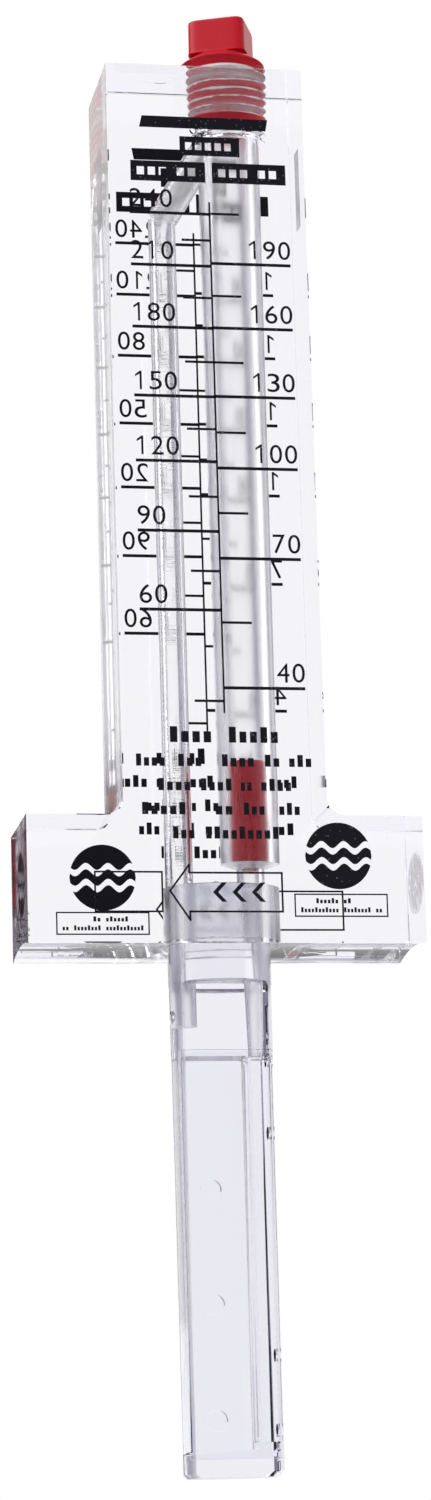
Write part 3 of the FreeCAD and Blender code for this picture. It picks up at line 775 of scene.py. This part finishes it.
def digit_skin(digit, low, high):
    """A digit with a thickness: the built-in typeface drawn to one size, but 1 is a bar with a flag."""
    if digit == "1":
        flag = [(0.15, 2.1), (0.15, 2.46), (0.92, 3.04), (0.92, 2.6)]
        return joined([inked(bar(0.86, 1.2, 0.0, DIGIT_HEIGHT), low, high), inked(flag, low, high)])
    curve = bpy.data.curves.new("digit", "FONT")
    curve.body = digit
    curve.extrude = 0.01
    curve.resolution_u = 6
    holder = bpy.data.objects.new("digit", curve)
    bpy.context.scene.collection.objects.link(holder)
    bpy.context.view_layer.update()
    mesh = bpy.data.meshes.new_from_object(holder.evaluated_get(bpy.context.evaluated_depsgraph_get()))
    flat = np.empty(len(mesh.vertices) * 3)
    mesh.vertices.foreach_get("co", flat)
    flat = flat.reshape(-1, 3)
    faces = [list(face.vertices) for face in mesh.polygons]
    bpy.data.objects.remove(holder)
    bpy.data.curves.remove(curve)
    bpy.data.meshes.remove(mesh)
    right = DIGIT_WIDTH * (flat[:, 0] - flat[:, 0].min()) / np.ptp(flat[:, 0])
    up = DIGIT_HEIGHT * (flat[:, 1] - flat[:, 1].min()) / np.ptp(flat[:, 1])
    return np.stack([right, np.where(flat[:, 2] > 0, low, high), up], axis=1), faces


def number_skin(number, x, side, z, mirrored, low, high):
    """A whole number in evenly set digits: its left (side 0) or right (side 1) edge is at x."""
    digits = str(number)
    wide = DIGIT_STEP * (len(digits) - 1) + DIGIT_WIDTH
    skins = []
    for n, digit in enumerate(digits):
        some, corners = digit_skin(digit, low, high)
        skins.append((some + (DIGIT_STEP * n, 0.0, 0.0), corners))
    points, faces = joined(skins)
    if mirrored:
        points[:, 0] = wide - points[:, 0]
    return points + (x - side * wide, 0.0, z), faces


def make_print(name, material, back):
    """The print of one face; the back one reads from behind and sits a little lower and aside."""
    if back:
        low, high, flip, aside, drop, badge = PRINT_FACE, FACE, -1.0, -0.45, 0.6, (-17.4, 12.0)
    else:
        low, high, flip, aside, drop, badge = -PRINT_FACE, -FACE, 1.0, 0.0, 0.0, (17.3, 12.5)
    skins = [inked(np.asarray(shape, float) * (flip, 1.0), low, high) for shape in label_ink()]
    skins += [inked(np.asarray(shape, float) + (aside, 0.0), low, high) for shape in scale_ink()]
    skins += [inked(shape, low, high) for shape in arrow_ink() + badge_ink(*badge)]
    for majors, x, side in ((MAJORS_LEFT, -12.55, 0.0), (MAJORS_RIGHT, 13.05, 1.0)):
        skins += [number_skin(value, x + aside, side, z + 0.95, back, low, high) for value, z in majors]
    points, faces = joined(skins)
    points[:, 2] -= drop
    face = new_object(name, points, faces, smooth=False)
    return dressed(face, material, "meter", "clear_block")


# ---------------------------------------------------------------- stage


def make_camera():
    """The photograph's viewpoint, found from the corners of the block."""
    data = bpy.data.cameras.new("view")
    data.sensor_width = 36.0
    data.lens = data.sensor_width * FOCAL_PIXELS / PICTURE_PIXELS
    data.clip_start, data.clip_end = 0.01, 100.0
    camera = bpy.data.objects.new("view", data)
    bpy.context.scene.collection.objects.link(camera)
    ahead = np.array((0.1744, 0.9608, 0.2153))
    down = np.array((0.0094, 0.217, -0.9761))
    ahead /= np.linalg.norm(ahead)
    right = np.cross(down, ahead)
    right /= np.linalg.norm(right)
    down = np.cross(ahead, right)
    camera.matrix_world = Matrix(
        [(right[n], -down[n], -ahead[n], EYE[n] * MM) for n in range(3)] + [(0, 0, 0, 1)])
    bpy.context.scene.camera = camera


def seen_through(tree):
    """1 for camera, glossy and transmission rays, otherwise 0."""
    rays = tree.nodes.new("ShaderNodeLightPath")
    gloss = larger(tree, rays.outputs["Is Glossy Ray"], rays.outputs["Is Transmission Ray"])
    return larger(tree, rays.outputs["Is Camera Ray"], gloss), rays.outputs


def make_world(looks):
    """White surroundings; glass sees dark strips well to the sides, gloss a dim room in front and a dark
    post behind, which only plain mirroring shows."""
    world = bpy.data.worlds.new("studio")
    world.use_nodes = True
    bpy.context.scene.world = world
    tree = world.node_tree
    shown, rays = seen_through(tree)
    axes = axes_of(tree, tree.nodes.new("ShaderNodeTexCoord").outputs["Generated"])
    flat = plus(tree, length(tree, axes[0], axes[1]), 0.0001)
    side = maths(tree, "ABSOLUTE", maths(tree, "DIVIDE", axes[0], flat))    # 0 ahead, 1 to the side
    faded = times(tree, ramp(tree, side, 0.6, 0.86), band(tree, side, 0.6, 0.955, 0.014))
    strip = larger(tree, band(tree, side, 0.82, 0.955, 0.014), faded)
    strip = times(tree, strip, less(tree, 1.0, rays["Is Camera Ray"]))
    room = times(tree, band(tree, axes[1], -1.1, -0.6, 0.3), rays["Is Glossy Ray"])
    dark = times(tree, larger(tree, strip, room), looks.strip_depth)
    colour = mixed(tree, dark, (1, 1, 1, 1), (0.09, 0.08, 0.15, 1))
    post = times(tree, band(tree, axes[0], -0.2, -0.06, 0.02), band(tree, axes[2], -1.1, 0.2, 0.03))
    post = times(tree, post, band(tree, axes[1], 0.3, 1.1, 0.2))
    mirrored = less(tree, rays["Is Glossy Ray"], rays["Is Transmission Ray"], clamp=True)
    colour = mixed(tree, times(tree, post, mirrored), colour, (0.05, 0.02, 0.035, 1))
    light = tree.nodes["Background"]
    tree.links.new(colour, light.inputs["Color"])
    tree.links.new(ramp(tree, shown, 0.0, 1.0, looks.ambient, 1.0), light.inputs["Strength"])


def make_floor(looks):
    """A wide pale disc under the meter that keeps its shadow: diffuse light plus an even glow."""
    angle = np.linspace(0, 2 * np.pi, 96, endpoint=False)
    rim = np.stack([FLOOR_RADIUS * np.cos(angle), FLOOR_RADIUS * np.sin(angle),
                    np.full(len(angle), FLOOR_LEVEL)], axis=1)
    floor = new_object("floor", rim, [list(range(len(angle)))], smooth=False)
    material, tree, shader, _ = new_material("pale_floor", looks.floor, Roughness=0.9)
    shown, _ = seen_through(tree)
    glow = tree.nodes.new("ShaderNodeEmission")
    glow.inputs["Color"].default_value = (1, 1, 1, 1)
    tree.links.new(times(tree, shown, looks.floor_glow), glow.inputs["Strength"])
    both = tree.nodes.new("ShaderNodeAddShader")
    tree.links.new(shader.outputs[0], both.inputs[0])
    tree.links.new(glow.outputs[0], both.inputs[1])
    tree.links.new(both.outputs[0], tree.nodes["Material Output"].inputs["Surface"])
    floor.data.materials.append(material)


def make_lamp(name, place, target, size, power):
    """A soft area lamp that looks at a point."""
    data = bpy.data.lights.new(name, "AREA")
    data.shape = "DISK"
    data.size = size
    data.energy = power
    lamp = bpy.data.objects.new(name, data)
    bpy.context.scene.collection.objects.link(lamp)
    back = np.asarray(place, float) - np.asarray(target, float)
    back /= np.linalg.norm(back)
    right = np.cross((0, 0, 1), back)
    right /= np.linalg.norm(right)
    up = np.cross(back, right)
    lamp.matrix_world = Matrix([(right[n], up[n], back[n], place[n]) for n in range(3)] + [(0, 0, 0, 1)])


# ---------------------------------------------------------------- add-on


class MeterSizes(bpy.types.PropertyGroup):
    """Sizes of the dressing that are not in the CAD model."""

    broken_edge: bpy.props.FloatProperty(
        name="Broken edge", description="Width of the chamfer round the block's faces",
        default=0.00018, min=0.0, max=0.002, unit="LENGTH", precision=5)


class MeterLooks(bpy.types.PropertyGroup):
    """Colours and levels of the dressing."""

    clear_tint: bpy.props.FloatVectorProperty(
        name="Block tint", description="Colour of light that passes the block's surface",
        default=(0.99, 0.988, 1.0), size=3, subtype="COLOR", min=0.0, max=1.0)
    clear_inside: bpy.props.FloatVectorProperty(
        name="Inner tint", description="Colour that light takes on inside clear pieces",
        default=(0.62, 0.6, 0.8), size=3, subtype="COLOR", min=0.0, max=1.0)
    clear_density: bpy.props.FloatProperty(
        name="Block density", description="How fast light fades inside the block, per metre",
        default=4.0, min=0.0, max=100.0)
    moulding_tint: bpy.props.FloatVectorProperty(
        name="Stem tint", description="Colour of light that passes the stem's surface",
        default=(0.966, 0.964, 0.99), size=3, subtype="COLOR", min=0.0, max=1.0)
    moulding_density: bpy.props.FloatProperty(
        name="Stem density", description="How fast light fades inside the stem, per metre",
        default=20.0, min=0.0, max=100.0)
    bore_haze: bpy.props.FloatProperty(
        name="Bore haze", description="Roughness of the reamed sight bore",
        default=0.32, min=0.0, max=1.0, subtype="FACTOR")
    hub_haze: bpy.props.FloatProperty(
        name="Hub haze", description="Roughness of the bonded hub",
        default=0.38, min=0.0, max=1.0, subtype="FACTOR")
    streak_scale: bpy.props.FloatProperty(
        name="Streak scale", description="Fineness of the reamed streaks in the sight bore",
        default=900.0, min=10.0, max=5000.0)
    plug_red: bpy.props.FloatVectorProperty(
        name="Plug red", description="Colour of the plug",
        default=(0.7, 0.014, 0.028), size=3, subtype="COLOR", min=0.0, max=1.0)
    float_red: bpy.props.FloatVectorProperty(
        name="Float red", description="Colour of the float",
        default=(0.6, 0.01, 0.018), size=3, subtype="COLOR", min=0.0, max=1.0)
    tape_white: bpy.props.FloatVectorProperty(
        name="Tape white", description="Colour of the thread tape",
        default=(0.98, 0.96, 0.97), size=3, subtype="COLOR", min=0.0, max=1.0)
    ink: bpy.props.FloatVectorProperty(
        name="Ink", description="Colour of the print",
        default=(0.004, 0.004, 0.008), size=3, subtype="COLOR", min=0.0, max=1.0)
    floor: bpy.props.FloatVectorProperty(
        name="Floor", description="Colour of the floor",
        default=(0.54, 0.54, 0.58), size=3, subtype="COLOR", min=0.0, max=1.0)
    floor_glow: bpy.props.FloatProperty(
        name="Floor glow", description="Even light of the floor to the camera and through glass",
        default=0.64, min=0.0, max=2.0)
    ambient: bpy.props.FloatProperty(
        name="Ambient", description="Strength of the surroundings as a light",
        default=0.42, min=0.0, max=2.0)
    strip_depth: bpy.props.FloatProperty(
        name="Strip depth", description="How dark the side strips are that give glass its edges",
        default=0.85, min=0.0, max=1.0, subtype="FACTOR")


class METER_OT_stage(bpy.types.Operator):
    """Makes the camera, the floor, the surroundings and the lamps"""

    bl_idname = "meter.stage"
    bl_label = "Stage"

    def execute(self, context):
        looks = context.scene.meter_looks
        context.scene.view_settings.view_transform = "Standard"
        make_camera()
        make_world(looks)
        make_floor(looks)
        make_lamp("key", (-1.4, -0.6, 1.5), (0, 0, 0.05), 1.3, 26.0)
        make_lamp("fill", (1.3, -0.6, 0.3), (0, 0, 0.05), 0.9, 4.0)
        return {"FINISHED"}


class METER_OT_clear_parts(bpy.types.Operator):
    """Makes the clear block, the stem and its cover"""

    bl_idname = "meter.clear_parts"
    bl_label = "Clear parts"

    def execute(self, context):
        looks, sizes = context.scene.meter_looks, context.scene.meter_sizes
        drawn_marks_group()
        speckle_group()
        moulded_colour_group()
        make_block(sizes, block_material(looks))
        moulding = moulding_material(looks)
        make_stem(moulding)
        make_cover(moulding)
        return {"FINISHED"}


class METER_OT_red_parts(bpy.types.Operator):
    """Makes the float, the plug and the tape on its thread"""

    bl_idname = "meter.red_parts"
    bl_label = "Float, plug and tape"

    def execute(self, context):
        looks = context.scene.meter_looks
        make_float(red_material("float_plastic", looks.float_red, (0.34, 0.006, 0.012), 0.5, 160.0))
        make_plug(red_material("plug_plastic", looks.plug_red, (0.5, 0.012, 0.03), 0.33, 220.0))
        make_tape(tape_material(looks))
        return {"FINISHED"}


class METER_OT_print(bpy.types.Operator):
    """Makes the scale and the other print on both faces"""

    bl_idname = "meter.print"
    bl_label = "Print"

    def execute(self, context):
        ink = ink_material(context.scene.meter_looks)
        make_print("print_front", ink, back=False)
        make_print("print_back", ink, back=True)
        return {"FINISHED"}


class METER_PT_panel(bpy.types.Panel):
    """Lists the operators and the sizes and colours of the meter"""

    bl_idname = "METER_PT_panel"
    bl_label = "Flow meter"
    bl_space_type = "VIEW_3D"
    bl_region_type = "UI"
    bl_category = "Flow meter"

    def draw(self, context):
        for operator in OPERATORS:
            self.layout.operator(operator.bl_idname)
        for group in (context.scene.meter_sizes, context.scene.meter_looks):
            for label in group.bl_rna.properties.keys():
                if label not in ("rna_type", "name"):
                    self.layout.prop(group, label)


OPERATORS = (METER_OT_stage, METER_OT_clear_parts, METER_OT_red_parts, METER_OT_print)
CLASSES = (MeterSizes, MeterLooks, *OPERATORS, METER_PT_panel)


def register():
    """Registers the classes and hangs the two property groups on the scene."""
    for one in CLASSES:
        bpy.utils.register_class(one)
    bpy.types.Scene.meter_sizes = bpy.props.PointerProperty(type=MeterSizes)
    bpy.types.Scene.meter_looks = bpy.props.PointerProperty(type=MeterLooks)


def unregister():
    """Takes them off again."""
    del bpy.types.Scene.meter_looks
    del bpy.types.Scene.meter_sizes
    for one in reversed(CLASSES):
        bpy.utils.unregister_class(one)


def main():
    register()
    bpy.ops.meter.stage()
    bpy.ops.meter.clear_parts()
    bpy.ops.meter.red_parts()
    bpy.ops.meter.print()


if __name__ == "__main__":
    main()
